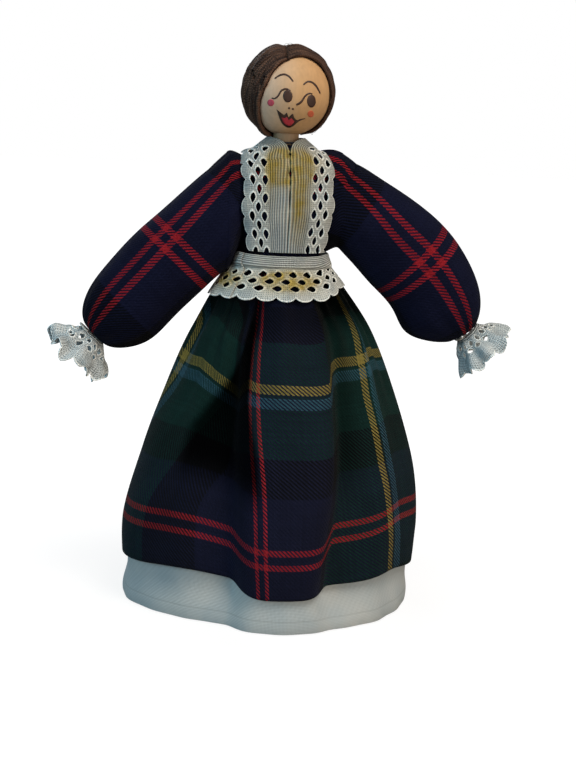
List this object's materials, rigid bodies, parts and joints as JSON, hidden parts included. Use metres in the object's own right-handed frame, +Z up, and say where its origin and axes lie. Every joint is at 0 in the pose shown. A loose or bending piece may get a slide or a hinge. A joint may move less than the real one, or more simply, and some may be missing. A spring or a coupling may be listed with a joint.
{
  "type": "cloth doll",
  "caption": "Standing cloth doll with a painted ball head, stuffed tartan sleeves on a wire, lace trim and a gathered tartan skirt over a white petticoat.",
  "frame": {"origin": "on the surface that the doll stands on, under the middle of its bounding box, which is the middle of its base plate", "axes": "+Z up through the peg and the head, -Y the way the doll faces, +X towards the doll's own left arm"},
  "size_m": [0.1677, 0.0963, 0.1985],
  "materials": {
    "tartan": "matte",
    "cotton": "matte",
    "lace": "matte",
    "thread": "matte",
    "wadding": "matte",
    "hair": "satin",
    "skin_paint": "satin",
    "plain_wood": "matte",
    "steel_wire": "satin"
  },
  "bodies": {
    "body": {"base_plate": "plain_wood", "spine_peg": "skin_paint", "skirt_wadding": "wadding", "petticoat": "cotton", "skirt": "tartan", "torso_wadding": "wadding", "bodice": "tartan", "waist_tie": "thread", "neck_tie": "thread", "collar_lace": "lace", "waist_lace": "lace"},
    "head": {"head_ball": "skin_paint", "hair_cap": "hair", "hair_bun": "hair"},
    "shoulder_yoke": {"shoulder_wire": "steel_wire"},
    "arm_left": {"sleeve_left": "tartan", "arm_wadding_left": "wadding", "arm_wire_left": "steel_wire", "wrist_tie_left": "thread", "cuff_lace_left": "lace"},
    "arm_right": {"sleeve_right": "tartan", "arm_wadding_right": "wadding", "arm_wire_right": "steel_wire", "wrist_tie_right": "thread", "cuff_lace_right": "lace"}
  },
  "joints": [
    {"name": "head_turn", "type": "hinge", "parent": "body", "child": "head", "pos_m": [0, 0, 0.1817], "axis": [0, 0, 1], "range_deg": [-75, 75]},
    {"name": "arms_swing", "type": "hinge", "parent": "body", "child": "shoulder_yoke", "pos_m": [0, 0, 0.1565], "axis": [-1, 0, 0], "range_deg": [-20, 30]},
    {"name": "arm_raise_left", "type": "hinge", "parent": "shoulder_yoke", "child": "arm_left", "pos_m": [0.017, 0, 0.1565], "axis": [0, -1, 0], "range_deg": [0, 45]},
    {"name": "arm_raise_right", "type": "hinge", "parent": "shoulder_yoke", "child": "arm_right", "pos_m": [-0.017, 0, 0.1565], "axis": [0, 1, 0], "range_deg": [0, 45]}
  ]
}
